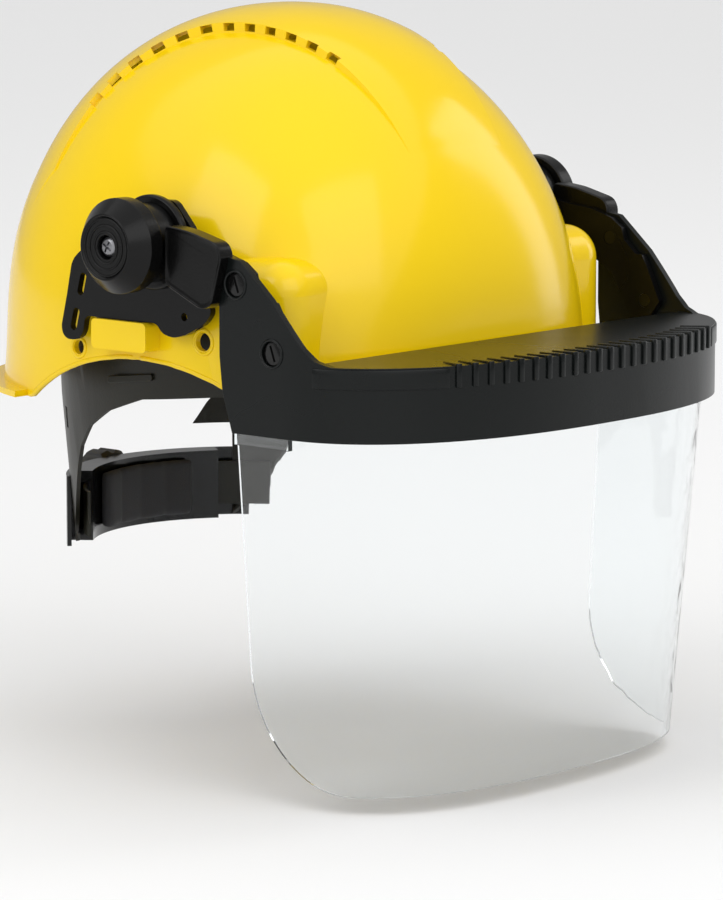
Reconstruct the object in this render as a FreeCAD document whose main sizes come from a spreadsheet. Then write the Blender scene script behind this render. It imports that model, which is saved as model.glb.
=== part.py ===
import FreeCAD, Part
import math
import os
import Sketcher
from FreeCAD import Placement, Rotation, Vector

# Safety helmet with a flip-up face shield. Millimetres, +Z up, the face looks along -Y, the wearer's
# right is -X, and the origin is the middle of the head opening, level with the shell's rear rim.

os.makedirs("parts", exist_ok=True)
doc = FreeCAD.newDocument("hard_hat")

# ---------------------------------------------------------------- driving sizes

SIZES = [
    # shell
    ("shell_half_width", 105.0, "half width of the dome at its base"),
    ("shell_front", 110.0, "dome reach in front of the origin"),
    ("shell_rear", 126.0, "dome reach behind the origin"),
    ("shell_crown", 156.0, "height of the dome without its ridge"),
    ("shell_shoulder", 25.0, "height where the walls start to close in"),
    ("shell_wall", 2.5, "shell thickness"),
    ("shell_flare", 0.03, "outward flare of the skirt below the shoulder, as a share"),
    ("ridge_rise", 4.5, "how far the crown ridge stands above the dome"),
    ("ridge_half_width", 35.4, "half width of the ridge at its middle"),
    ("ridge_front_half_width", 26.0, "half width of the ridge at its front end"),
    ("ridge_spread", 30.3, "how much wider the ridge is on each side at its rearmost vent"),
    ("ridge_front", 104.0, "where the ridge's plan ends in front of the origin"),
    ("ridge_rear", 61.0, "where the ridge's edges run out behind the origin"),
    ("vent_width", 5.5, "vent opening along the ridge"),
    ("vent_height", 3.2, "vent opening up the ridge wall"),
    ("vent_front", 50.0, "foremost vent in front of the origin"),
    ("vent_rear", 51.0, "rearmost vent behind the origin"),
    ("temple_face", 102.5, "outer face of the temple bulge from the mid-plane"),
    ("temple_front", 87.0, "front of the temple bulge before the origin"),
    ("temple_rear", 30.0, "rear of the temple bulge before the origin"),
    ("temple_top", 66.0, "top of the temple bulge"),
    ("temple_round", 14.0, "rounding of the temple bulge"),
    ("rim_arch", 22.0, "height of the ear arch"),
    ("rim_front", 19.0, "height of the rim under the peak"),
    ("peak_reach", 142.0, "peak tip in front of the origin"),
    ("peak_half_width", 96.0, "half width of the peak"),
    ("peak_thickness", 3.0, "peak thickness"),
    ("rear_lip", 5.0, "how far the rear lip stands out"),
    ("boss_face", 113.0, "outer face of the slot boss from the mid-plane"),
    ("boss_rear", 9.0, "rear end of the slot boss"),
    ("boss_front", -21.0, "front end of the slot boss"),
    ("boss_bottom", 26.0, "underside of the slot boss"),
    ("boss_top", 38.0, "top of the slot boss"),
    ("hole_rear_diameter", 6.0, "accessory hole behind the ear"),
    ("hole_front_diameter", 7.4, "accessory hole in front of the ear"),
    # pivot
    ("pivot_y", -25.0, "visor pivot line, along Y"),
    ("pivot_z", 71.0, "visor pivot line, height"),
    ("pivot_radius", 19.0, "radius of the discs and the cap"),
    ("plate_inner", 107.5, "inner face of the bracket plate from the mid-plane"),
    ("plate_thickness", 3.0, "bracket plate thickness"),
    ("post_radius", 6.0, "pivot post radius"),
    ("running_gap", 0.05, "radial clearance of the hub on its post"),
    ("side_gap", 0.5, "gap between parts that turn beside each other"),
    ("base_thickness", 3.8, "thickness of the fixed base disc"),
    ("arm_thickness", 2.9, "link arm thickness"),
    ("hub_length", 7.4, "hub on the link arm, outside the arm plate"),
    ("washer_thickness", 0.8, "wave washer thickness"),
    ("cap_length", 14.0, "pivot cap length"),
    ("cap_face_radius", 12.5, "recessed flat of the cap"),
    ("block_face", 4.2, "thickness of the clip block's face"),
    # visor frame
    ("frame_half_width", 121.0, "outer half width of the frame"),
    ("frame_wall", 3.0, "frame wall"),
    ("frame_centre", -100.0, "where the frame's sides start to bend round"),
    ("frame_reach", 68.0, "how far the bend reaches forward of there"),
    ("frame_power", 2.4, "squareness of the frame's bend"),
    ("frame_top", 29.5, "top of the band"),
    ("ledge_thickness", 3.0, "ledge thickness"),
    ("ledge_rear", -112.5, "rear edge of the ledge"),
    ("rivet_radius", 5.0, "rivet head radius"),
    # shield
    ("shield_thickness", 1.5, "clear sheet thickness"),
    ("shield_gap", 0.4, "gap between sheet and frame"),
    ("shield_top", 22.0, "top edge of the sheet"),
    ("shield_bottom", -143.0, "bottom edge of the sheet"),
    ("shield_rear", -73.0, "rear edges of the sheet"),
    ("shield_taper", 13.0, "how far each side comes in at the bottom"),
    ("shield_front_taper", 14.0, "how far the front comes in at the bottom"),
    ("shield_corner", 48.0, "radius of the lower rear corners"),
    # headband and cradle
    ("band_half_width", 88.0, "headband half width at the brow"),
    ("band_half_length", 108.0, "headband half length at the brow"),
    ("band_low_half_width", 80.0, "headband half width at the nape level"),
    ("band_low_half_length", 97.0, "headband half length at the nape level"),
    ("band_thickness", 2.0, "headband thickness"),
    ("band_top", 38.0, "top of the headband at the brow"),
    ("band_low", -75.0, "level that the nape sizes are taken at"),
    ("pad_thickness", 4.0, "sweatband thickness"),
    ("pad_gap", 0.4, "gap between pad and band"),
    ("strap_width", 20.0, "cradle strap width"),
    ("strap_thickness", 1.2, "cradle strap thickness"),
    ("strap_crown", 119.0, "height of the lower strap under the crown"),
    ("strap_span", 100.0, "half span of the straps at their clips"),
    ("strap_angle", 48.0, "angle of each strap from the X axis, degrees"),
    ("clip_width", 24.0, "strap clip width"),
    ("clip_height", 12.0, "strap clip height"),
    ("clip_bottom", 26.0, "underside of the strap clips"),
    # nape ratchet
    ("nape_radius", 68.0, "radius of the nape arc at the rack's pitch line"),
    ("nape_centre", 30.0, "centre of the nape arc along Y"),
    ("nape_level", -55.0, "height of the pinion's axis"),
    ("rack_thickness", 1.3, "rack thickness"),
    ("rack_gap", 0.4, "gap between the two racks"),
    ("rack_height", 19.0, "rack height"),
    ("pinion_radius", 4.5, "pinion pitch radius"),
    ("pinion_teeth", 10, "teeth on the pinion"),
    ("tooth_rise", 0.55, "tooth height above and below the pitch line"),
    ("housing_wall", 1.8, "ratchet case wall"),
    ("housing_half_angle", 38.0, "half angle of the case round the nape, degrees"),
    ("cover_half_angle", 50.0, "half angle of the cover that laps over the band's arms, degrees"),
    ("cover_offset", 5.2, "inner face of the cover outside the rack's pitch line"),
    ("housing_height", 30.0, "height of the case"),
    ("knob_radius", 17.0, "ratchet knob radius"),
    ("knob_length", 13.0, "ratchet knob length"),
    ("knob_grips", 12, "grip flutes round the knob"),
]

sheet = doc.addObject("Spreadsheet::Sheet", "sizes")
for row, (alias, value, note) in enumerate(SIZES, start=1):
    sheet.set(f"A{row}", note)
    sheet.set(f"B{row}", str(value))
    sheet.setAlias(f"B{row}", alias)
doc.recompute()


def size(alias):
    """A driving size, read from the sheet."""
    return float(sheet.get(alias))


# ---------------------------------------------------------------- helpers

SIDES = (("right", -1.0), ("left", 1.0))
FAR = 400.0  # beyond the whole object, for cutting blocks
subparts = []


def add_shape(label, shape):
    """A sub-part whose shape is worked out with Part's functions."""
    feature = doc.addObject("Part::Feature", label)
    feature.Label = label
    feature.Shape = shape
    subparts.append(feature)
    return feature


def wire_of(edges):
    """One wire from edges in any order."""
    return Part.Wire(Part.__sortEdges__(edges))


def polygon_face(points):
    """A flat face from its corners."""
    return Part.Face(Part.makePolygon(list(points) + [points[0]]))


def side_prism(outline, start, end):
    """A prism along X from an outline of (y, z) corners."""
    face = polygon_face([Vector(start, y, z) for y, z in outline])
    return face.extrude(Vector(end - start, 0, 0))


def block(x0, x1, y0, y1, z0, z1):
    """A box between two corners given in any order."""
    low = Vector(min(x0, x1), min(y0, y1), min(z0, z1))
    return Part.makeBox(abs(x1 - x0), abs(y1 - y0), abs(z1 - z0), low)


def x_cylinder(radius, x0, x1, y, z):
    """A cylinder along X between two stations."""
    return Part.makeCylinder(radius, abs(x1 - x0), Vector(min(x0, x1), y, z), Vector(1, 0, 0))


def rounded(shape, radius, keep):
    """The shape with a fillet on every edge that keep(edge) picks."""
    edges = [edge for edge in shape.Edges if keep(edge)]
    return shape.makeFillet(radius, edges)


def along_x(edge):
    """True for a straight edge that runs along X."""
    direction = edge.lastVertex().Point - edge.firstVertex().Point
    return direction.Length > 0.5 and abs(direction.x) > 0.99 * direction.Length


# ---------------------------------------------------------------- shell

FRONT_POWER_LOW = 3.0  # squarish brow
FRONT_POWER_HIGH = 2.3
REAR_POWER = 2.25
CLOSING_POWER = 2.1
SKIRT_BOTTOM = -14.0
RING_POINTS = 20
RING_LEVELS = (0.0, 0.3, 0.55, 0.75, 0.89, 0.97, 0.994)


def ring_point(angle, half_width, front, rear, front_power, rear_power):
    """A point of the egg-shaped plan curve, on a ray from the centre."""
    reach, power = (front, front_power) if math.sin(angle) < 0 else (rear, rear_power)
    across = abs(math.cos(angle)) / half_width
    along = abs(math.sin(angle)) / reach
    distance = (across**power + along**power) ** (-1.0 / power)
    return distance * math.cos(angle), distance * math.sin(angle)


def ring_wire(level, half_width, front, rear, front_power, rear_power, centre=0.0):
    """A closed smooth plan curve at one height; it starts at the back."""
    points = []
    for step in range(RING_POINTS):
        angle = math.pi / 2 + 2 * math.pi * step / RING_POINTS
        x, y = ring_point(angle, half_width, front, rear, front_power, rear_power)
        points.append(Vector(x, y + centre, level))
    curve = Part.BSplineCurve()
    curve.interpolate(Points=points, PeriodicFlag=True)
    return Part.Wire(curve.toShape())


def closing(share):
    """How wide the dome is at a share of its height above the shoulder."""
    return (1 - share**CLOSING_POWER) ** (1 / CLOSING_POWER)


def front_power(share):
    """The front half is squarer at the brow than at the crown."""
    return FRONT_POWER_LOW + (FRONT_POWER_HIGH - FRONT_POWER_LOW) * share


def dome(inset, crown, end_inset=0.0):
    """A solid dome, its walls inset from the outer surface and its top at crown."""
    half_width = size("shell_half_width") - inset
    front = size("shell_front") - inset - end_inset
    rear = size("shell_rear") - inset - end_inset
    shoulder = size("shell_shoulder")
    drop = shoulder - SKIRT_BOTTOM
    flare = 1 + size("shell_flare") * drop / shoulder
    sections = [
        ring_wire(SKIRT_BOTTOM, half_width * flare, front * flare, rear * flare, FRONT_POWER_LOW, REAR_POWER)
    ]
    for share in RING_LEVELS:
        level = shoulder + (crown - shoulder) * share
        wide = closing(share)
        sections.append(
            ring_wire(level, half_width * wide, front * wide, rear * wide, front_power(share), REAR_POWER)
        )
    sections.append(Part.Vertex(0, 0, crown))
    return Part.makeLoft(sections, True, False)


def dome_height(x, y, crown):
    """Height of the dome's outer surface above a plan position."""
    share = 0.8
    reach = size("shell_front") if y < 0 else size("shell_rear")
    for _ in range(12):
        power = front_power(share) if y < 0 else REAR_POWER
        wide = ((abs(x) / size("shell_half_width")) ** power + (abs(y) / reach) ** power) ** (1 / power)
        share = max(0.0, 1 - wide**CLOSING_POWER) ** (1 / CLOSING_POWER)
    return size("shell_shoulder") + (crown - size("shell_shoulder")) * share


def ridge_half_width_at(y):
    """Half width of the ridge at a station along Y: a little narrower in front, spreading behind."""
    if y < 0:
        drop = size("ridge_half_width") - size("ridge_front_half_width")
        return size("ridge_half_width") - drop * (y / size("ridge_front")) ** 2
    return size("ridge_half_width") + size("ridge_spread") * (y / size("vent_rear")) ** 2.2


RIDGE_STATIONS = 9
RIDGE_SINK = 2.0  # the ridge's dome is this much slimmer at its foot, so the ridge fades out


def ridge_block(inset):
    """An upright block under the plan of the ridge, open to the back of the shell."""
    front = -size("ridge_front") + inset
    rear = size("ridge_rear")
    back = size("shell_rear") + 2
    foot = 60.0
    stations = [front + (rear - front) * step / (RIDGE_STATIONS - 1) for step in range(RIDGE_STATIONS)]
    edges = []
    ends = []
    for side in (-1, 1):
        points = [Vector(side * (ridge_half_width_at(y) - inset), y, foot) for y in stations]
        spline = Part.BSplineCurve()
        spline.interpolate(points)
        corner = Vector(points[-1].x, back, foot)
        edges.append(spline.toShape())
        edges.append(Part.makeLine(points[-1], corner))
        ends.append((points[0], corner))
    edges.append(Part.makeLine(ends[0][0], ends[1][0]))
    edges.append(Part.makeLine(ends[0][1], ends[1][1]))
    return Part.Face(wire_of(edges)).extrude(Vector(0, 0, 140))


def rim_cutter():
    """Everything below the shell's rim: flat at the back, arched over each ear, level under the peak."""
    arch = size("rim_arch")
    front = size("rim_front")
    bottom = -60.0
    start = Vector(-FAR, 58, 0)
    foot = Vector(-FAR, -66, 7)
    step_up = Vector(-FAR, -92, front)
    corners = [
        Vector(-FAR, -FAR, front),
        Vector(-FAR, -FAR, bottom),
        Vector(-FAR, FAR, bottom),
        Vector(-FAR, FAR, 0),
        start,
    ]
    edges = [Part.makeLine(a, b) for a, b in zip(corners, corners[1:])]
    edges.append(Part.Arc(start, Vector(-FAR, -8, arch), foot).toShape())
    edges.append(Part.makeLine(foot, step_up))
    edges.append(Part.makeLine(step_up, corners[0]))
    return Part.Face(wire_of(edges)).extrude(Vector(2 * FAR, 0, 0))


TONGUE_FRONT = -17.0
TONGUE_REAR = 7.0
TONGUE_BOTTOM = 29.0
TONGUE_CLEARANCE = 0.2
VENTS_PER_SIDE = 12
HOLES = ((25.0, 24.0, "hole_rear_diameter"), (-43.0, 31.5, "hole_front_diameter"))
PEAK_POWER = 2.6
EDGE_ROUND = 2.0


def peak_plate():
    """The short peak, a flat plate under the visor's ledge."""
    plan = ring_wire(
        size("rim_front"), size("peak_half_width"), size("peak_reach"), size("shell_rear"), PEAK_POWER, REAR_POWER
    )
    plate = Part.Face(plan).extrude(Vector(0, 0, size("peak_thickness")))
    return plate.common(block(-FAR, FAR, -FAR, -70, 0, 60))


def rear_lip():
    """The small lip that stands out round the back of the rim."""
    flare = 1 + size("shell_flare")
    plan = ring_wire(
        0,
        size("shell_half_width") * flare + size("rear_lip"),
        size("shell_front"),
        size("shell_rear") * flare + size("rear_lip"),
        FRONT_POWER_LOW,
        REAR_POWER,
    )
    return Part.Face(plan).extrude(Vector(0, 0, size("shell_wall"))).common(block(-FAR, FAR, 62, FAR, -1, 20))


def slot_boss(side):
    """The boss over the ear, before its slot is cut."""
    boss = block(
        side * (size("shell_half_width") - 10),
        side * size("boss_face"),
        size("boss_front"),
        size("boss_rear"),
        size("boss_bottom"),
        size("boss_top"),
    )
    return rounded(boss, EDGE_ROUND, along_x)


def tongue_slot(side):
    """The slot that takes the bracket's tongue, open at the top of the boss."""
    return block(
        side * (size("plate_inner") - TONGUE_CLEARANCE),
        side * (size("plate_inner") + size("plate_thickness") + TONGUE_CLEARANCE),
        TONGUE_FRONT - TONGUE_CLEARANCE,
        TONGUE_REAR + TONGUE_CLEARANCE,
        TONGUE_BOTTOM - TONGUE_CLEARANCE,
        size("boss_top") + 1,
    )


def vent_row(side):
    """The holes of one side's vents, evenly spaced along the ridge's side wall."""
    points = []
    for step in range(RIDGE_STATIONS):
        share = step / (RIDGE_STATIONS - 1)
        y = -size("vent_front") + (size("vent_front") + size("vent_rear")) * share
        wide = ridge_half_width_at(y)
        height = dome_height(wide, y, size("shell_crown")) + size("ridge_rise") / 2
        points.append(Vector(side * wide, y, height))
    spline = Part.BSplineCurve()
    spline.interpolate(points)
    depth = 3.6 * size("shell_wall")
    wide = size("vent_width")
    tall = size("vent_height")
    holes = []
    for centre in spline.toShape().discretize(Number=VENTS_PER_SIDE):
        along = spline.tangent(spline.parameter(centre))[0]
        outward = Vector(side * along.y, -side * along.x, 0).normalize()
        if outward.x * side < 0:
            outward = outward * -1
        upward = outward.cross(along)
        hole = Part.makeBox(depth, wide, tall, Vector(-depth / 2, -wide / 2, -tall / 2))
        hole.Placement = Placement(centre, Rotation(outward, along, upward, "XYZ"))
        holes.append(hole)
    return holes


def temple_bulge(side, inset):
    """The rounded bulge at the temple, inset all round for its hollow."""
    radius = size("temple_round") - inset
    bulge = block(
        side * 70,
        side * (size("temple_face") - inset),
        -size("temple_front") + inset,
        -size("temple_rear") - inset,
        -10,
        size("temple_top") - inset,
    )
    return bulge.makeFillet(radius, [edge for edge in bulge.Edges if not near_inner_end(edge, side)])


def near_inner_end(edge, side):
    """True for the edges of a temple block that end inside the dome or below its rim."""
    centre = edge.CenterOfMass
    return side * centre.x < 71 or centre.z < -9


def make_shell():
    wall = size("shell_wall")
    crown = size("shell_crown")
    high_crown = crown + size("ridge_rise")
    ridge = dome(0, high_crown, end_inset=RIDGE_SINK).common(ridge_block(0))
    vents = vent_row(-1) + vent_row(1)
    pieces = [ridge, peak_plate(), rear_lip()]
    cutters = [dome(wall, crown - wall), rim_cutter()]
    for _, side in SIDES:
        pieces += [slot_boss(side), temple_bulge(side, 0)]
        cutters += [temple_bulge(side, wall), tongue_slot(side)]
        for y, z, name in HOLES:
            cutters.append(x_cylinder(size(name) / 2, side * 80, side * 125, y, z))
    solid = dome(0, crown).fuse(pieces).cut(cutters + vents)
    return solid.cut(dome(wall, high_crown - wall, end_inset=RIDGE_SINK).common(ridge_block(wall)))


add_shape("shell", make_shell())

# ---------------------------------------------------------------- headband, pads and cradle


def band_solid(inset, top, bottom):
    """The headband's tapering oval as a solid; the inset is taken off all round."""
    slope = (size("band_half_width") - size("band_low_half_width")) / (size("band_top") - size("band_low"))
    slope_long = (size("band_half_length") - size("band_low_half_length")) / (size("band_top") - size("band_low"))
    wires = []
    for level in (top, bottom):
        drop = size("band_top") - level
        half_width = size("band_half_width") - slope * drop - inset
        half_length = size("band_half_length") - slope_long * drop - inset
        wires.append(ring_wire(level, half_width, half_length, half_length, 2.0, 2.0, BAND_CENTRE))
    return Part.makeLoft(wires, True, True)


BAND_CENTRE = 4.0
BAND_BROW_BOTTOM = 7.0
NAPE_TOP = -41.0
NAPE_BOTTOM = -69.0
BAND_OUTLINE = (
    # (y, z) down the front, back along the lower edge, up round the nape and forward along the top
    (-130, 38),
    (-130, 7),
    (-32, 6),
    (8, 2),
    (30, -5),
    (45, -13),
    (55, -23),
    (61, -34),
    (70, -55),
    (80, -69),
    (130, -69),
    (130, -41),
    (97, -41),
    (90, -20),
    (78, 4),
    (56, 24),
    (20, 30),
    (-60, 38),
)
SLOT_CUTS = ((84, -8, 12), (72, -18, 9))  # upright slots in the side panel: (y, z, height)


def nape_angle_block(half_angle, low, high, inner, outer):
    """A sector of a ring round the nape's centre, opening to the back."""
    ring = Part.makeCylinder(outer, high - low, Vector(0, size("nape_centre"), low))
    ring = ring.cut(Part.makeCylinder(inner, high - low, Vector(0, size("nape_centre"), low)))
    return ring.common(sector(-half_angle, half_angle, low, high))


def sector(start, end, low, high):
    """An upright wedge from the nape's centre, angles in degrees from straight back, + towards -X."""
    centre = Vector(0, size("nape_centre"), low)
    points = [centre]
    for angle in (start, (start + end) / 2, end):
        turn = math.radians(angle)
        points.append(centre + Vector(-math.sin(turn), math.cos(turn), 0) * FAR)
    return polygon_face(points).extrude(Vector(0, 0, high - low))


ARM_END_ANGLE = 44.0  # the band's arms stop here, short of the middle of the nape
CASE_DEPTH = 2 * size("rack_thickness") + size("rack_gap") + 2 * 0.6 + 2 * size("housing_wall")
CASE_MIDDLE = size("nape_level")
RACK_ROOT_ANGLE = 58.0
RACK_TIP_ANGLE = 22.0
RACK_CLEARANCE = 0.6
RACK_PLAY = CASE_DEPTH / 2 - size("housing_wall")
COVER_INNER = size("nape_radius") + size("cover_offset")
COVER_OUTER = COVER_INNER + size("housing_wall")


def make_headband():
    wall = size("band_thickness")
    ring = band_solid(0, size("band_top"), size("band_low")).cut(band_solid(wall, size("band_top"), size("band_low")))
    band = ring.common(side_prism(BAND_OUTLINE, -FAR, FAR))
    cuts = [sector(-ARM_END_ANGLE, ARM_END_ANGLE, NAPE_BOTTOM - 2, NAPE_TOP + 12)]
    for y, z, tall in SLOT_CUTS:
        for _, side in SIDES:
            cuts.append(block(side * 30, side * 100, y - 1.6, y + 1.6, z, z + tall))
    # room for the case's cover, which laps over the arms, and for the racks
    lap = size("cover_half_angle") + 1
    half = size("housing_height") / 2 + RACK_CLEARANCE
    cuts.append(nape_angle_block(lap, CASE_MIDDLE - half, CASE_MIDDLE + half, COVER_INNER - 0.5, COVER_OUTER + 12))
    half = size("rack_height") / 2 + RACK_CLEARANCE
    inner = size("nape_radius") - RACK_PLAY
    outer = size("nape_radius") + RACK_PLAY
    cuts.append(nape_angle_block(RACK_ROOT_ANGLE + 8, CASE_MIDDLE - half, CASE_MIDDLE + half, inner, outer))
    return band.cut(cuts)


add_shape("headband", make_headband())


def make_sweatband():
    """Brow pad inside the front of the headband."""
    outer = size("band_thickness") + size("pad_gap")
    top = size("band_top") - 2
    bottom = BAND_BROW_BOTTOM + 1
    pad = band_solid(outer, top, bottom).cut(band_solid(outer + size("pad_thickness"), top, bottom))
    return pad.common(block(-FAR, FAR, -FAR, -42, bottom, top))


add_shape("sweatband", make_sweatband())


def make_nape_pad():
    """Soft pad on the head side of the ratchet case."""
    outer = size("nape_radius") - CASE_DEPTH / 2 - size("pad_gap")
    return nape_angle_block(26, NAPE_BOTTOM + 2, NAPE_TOP - 2, outer - size("pad_thickness"), outer)


def strap(angle, crown):
    """A cradle strap: a flat band over the head, square to its own upright plane."""
    half = size("strap_width") / 2
    foot = size("clip_bottom") + 4
    rise = crown - foot
    span = size("strap_span")
    edges = []
    for extra in (0.0, size("strap_thickness")):
        arc = Part.Ellipse(Vector(0, 0, 0), max(span, rise) + extra, min(span, rise) + extra)
        edges.append(Part.Wire(arc.toShape()))
    ring = Part.Face(edges[1]).cut(Part.Face(edges[0]))
    if rise > span:
        ring = ring.rotated(Vector(0, 0, 0), Vector(0, 0, 1), 90)
    ring = ring.extrude(Vector(0, 0, 2 * half))
    ring.translate(Vector(0, 0, -half))
    ring = ring.rotated(Vector(0, 0, 0), Vector(1, 0, 0), 90)
    ring.translate(Vector(0, 0, foot))
    ring = ring.common(block(-FAR, FAR, -FAR, FAR, foot, FAR)).rotated(Vector(0, 0, 0), Vector(0, 0, 1), angle)
    ring.translate(Vector(0, BAND_CENTRE, 0))
    return ring


STRAP_GAP = 1.4
cradle = [
    ("cradle_strap_a", size("strap_angle"), size("strap_crown")),
    ("cradle_strap_b", -size("strap_angle"), size("strap_crown") + size("strap_thickness") + STRAP_GAP),
]
straps = [add_shape(label, strap(angle, crown)) for label, angle, crown in cradle]


def make_strap_clips():
    """Four clips that fill the space between headband, straps and shell wall."""
    wall = size("shell_wall")
    inside = dome(wall, size("shell_crown") - wall)
    band = band_solid(0, size("band_top"), size("band_low"))
    blocks = []
    half = size("clip_width") / 2
    bottom = size("clip_bottom")
    for angle in (size("strap_angle"), 180 - size("strap_angle")):
        for turn in (angle, angle + 180):
            piece = block(60, 130, -half, half, bottom, bottom + size("clip_height"))
            piece = piece.rotated(Vector(0, 0, 0), Vector(0, 0, 1), turn)
            piece.translate(Vector(0, BAND_CENTRE, 0))
            blocks.append(piece)
    clips = []
    for piece in blocks:
        clip = piece.common(inside).cut([band] + [item.Shape for item in straps])
        clips.append(max(clip.Solids, key=lambda solid: solid.Volume))
    return Part.Compound(clips)


add_shape("strap_clips", make_strap_clips())

# ---------------------------------------------------------------- nape ratchet



def make_case(cover):
    """One half of the ratchet case: the cover behind, or the back plate next to the head."""
    middle = size("nape_radius")
    cavity = CASE_DEPTH / 2 - size("housing_wall")
    low = CASE_MIDDLE - size("housing_height") / 2
    high = CASE_MIDDLE + size("housing_height") / 2
    half_angle = size("housing_half_angle")
    if cover:
        case = nape_angle_block(half_angle, low, high, middle, COVER_INNER)
        skin = nape_angle_block(size("cover_half_angle"), low, high, COVER_INNER, COVER_OUTER)
        case = case.fuse(skin)
    else:
        case = nape_angle_block(half_angle, low, high, middle - CASE_DEPTH / 2, middle)
    room = size("rack_height") / 2 + RACK_CLEARANCE
    hollow = nape_angle_block(half_angle + 5, CASE_MIDDLE - room, CASE_MIDDLE + room, middle - cavity, middle + cavity)
    case = case.cut(hollow)
    bore = size("pinion_radius") + 1.2
    hole = Part.makeCylinder(bore, 60, Vector(0, size("nape_centre") + middle, CASE_MIDDLE), Vector(0, 1, 0))
    return case.cut(hole)


add_shape("ratchet_housing", make_case(True))
add_shape("ratchet_back_plate", make_case(False))
add_shape("nape_pad", make_nape_pad())


def rack(side, inner):
    """A curved rack: a slotted strip with teeth on one long edge of its slot."""
    outer = inner + size("rack_thickness")
    half = size("rack_height") / 2
    level = CASE_MIDDLE
    ring = Part.makeCylinder(outer, 2 * half, Vector(0, size("nape_centre"), level - half))
    ring = ring.cut(Part.makeCylinder(inner, 2 * half, Vector(0, size("nape_centre"), level - half)))
    start, end = sorted((side * RACK_ROOT_ANGLE, -side * RACK_TIP_ANGLE))
    strip = ring.common(sector(start, end, level - half, level + half))
    slot_end = RACK_TIP_ANGLE - 4
    slot_half = size("pinion_radius") + size("tooth_rise") + 0.35
    slot_start, slot_stop = sorted((side * SLOT_REACH_ANGLE, -side * slot_end))
    slot = sector(slot_start, slot_stop, level - slot_half, level + slot_half)
    teeth = []
    tip = size("pinion_radius") - size("tooth_rise")
    pitch = tooth_pitch_angle()
    count = int((slot_end + SLOT_REACH_ANGLE) / pitch) - 1
    first = -slot_end / pitch
    for step in range(count):
        number = math.ceil(first) + step
        angle = side * (number + 0.5) * pitch
        half_tooth = 0.21 * pitch
        low, high = (level + tip, level + half - 1) if side < 0 else (level - half + 1, level - tip)
        teeth.append(sector(angle - half_tooth, angle + half_tooth, low, high))
    slot = slot.cut(teeth)
    return strip.cut(slot)


def tooth_pitch_angle():
    """Angle between rack teeth round the nape arc, in degrees."""
    return math.degrees(2 * math.pi * size("pinion_radius") / size("pinion_teeth") / size("nape_radius"))


SLOT_REACH_ANGLE = 34.0
gap = size("rack_gap")
add_shape("nape_rack_right", rack(1, size("nape_radius") - gap / 2 - size("rack_thickness")))
add_shape("nape_rack_left", rack(-1, size("nape_radius") + gap / 2))


KNOB_SEAT = size("nape_centre") + COVER_OUTER + 1.2


def make_pinion():
    """Toothed shaft through both racks; a tooth points straight up at rest."""
    teeth = int(size("pinion_teeth"))
    root = size("pinion_radius") - size("tooth_rise") - 0.2
    tip = size("pinion_radius") + size("tooth_rise")
    start = size("nape_centre") + size("nape_radius") - CASE_DEPTH / 2 + size("housing_wall") + 0.3
    length = KNOB_SEAT - start
    gear = Part.makeCylinder(root, length, Vector(0, start, CASE_MIDDLE), Vector(0, 1, 0))
    step = 360.0 / teeth
    half_root = math.sin(math.radians(step / 4)) * size("pinion_radius") * 0.95
    half_tip = half_root * 0.6
    for number in range(teeth):
        tooth = polygon_face(
            [
                Vector(-half_root, start, CASE_MIDDLE + root - 0.5),
                Vector(half_root, start, CASE_MIDDLE + root - 0.5),
                Vector(half_tip, start, CASE_MIDDLE + tip),
                Vector(-half_tip, start, CASE_MIDDLE + tip),
            ]
        ).extrude(Vector(0, length, 0))
        gear = gear.fuse(tooth.rotated(Vector(0, start, CASE_MIDDLE), Vector(0, 1, 0), number * step))
    return gear


add_shape("ratchet_pinion", make_pinion())


# ---------------------------------------------------------------- PartDesign helpers


def value_of(expression):
    """The number that an expression on the sheet's cells comes to."""
    result = sheet.evalExpression(expression)
    return float(getattr(result, "Value", result))


def new_body(label):
    """A body with its own label, kept as a sub-part."""
    body = doc.addObject("PartDesign::Body", label)
    body.Label = label
    subparts.append(body)
    return body


def new_sketch(body, role, name):
    """A sketch on one of the body's own origin planes."""
    sketch = body.newObject("Sketcher::SketchObject", body.Name + "_" + name)
    plane = next(item for item in body.Origin.OriginFeatures if item.Role == role)
    sketch.AttachmentSupport = [(plane, "")]
    sketch.MapMode = "FlatFace"
    return sketch


def bind(sketch, constraint, expression):
    """Adds a constraint and ties its value to the sheet."""
    number = sketch.addConstraint(constraint)
    sketch.setExpression(f"Constraints[{number}]", expression)


def add_outline(sketch, corners):
    """A closed outline whose corners are pairs of expressions."""
    points = [Vector(value_of(x), value_of(y), 0) for x, y in corners]
    first = sketch.GeometryCount
    count = len(points)
    for index in range(count):
        sketch.addGeometry(Part.LineSegment(points[index], points[(index + 1) % count]), False)
    for index in range(count):
        following = first + (index + 1) % count
        sketch.addConstraint(Sketcher.Constraint("Coincident", first + index, 2, following, 1))
    for index, (x, y) in enumerate(corners):
        line = first + index
        bind(sketch, Sketcher.Constraint("DistanceX", -1, 1, line, 1, points[index].x), on_sheet(x))
        bind(sketch, Sketcher.Constraint("DistanceY", -1, 1, line, 1, points[index].y), on_sheet(y))


def on_sheet(expression):
    """The same expression as another object writes it, with the sheet's name before each alias."""
    names = sorted((alias for alias, _, _ in SIZES), key=len, reverse=True)
    text = ""
    rest = expression
    while rest:
        alias = next((name for name in names if rest.startswith(name)), None)
        if alias:
            text += "sizes." + alias
            rest = rest[len(alias):]
        else:
            text += rest[0]
            rest = rest[1:]
    return text


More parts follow.
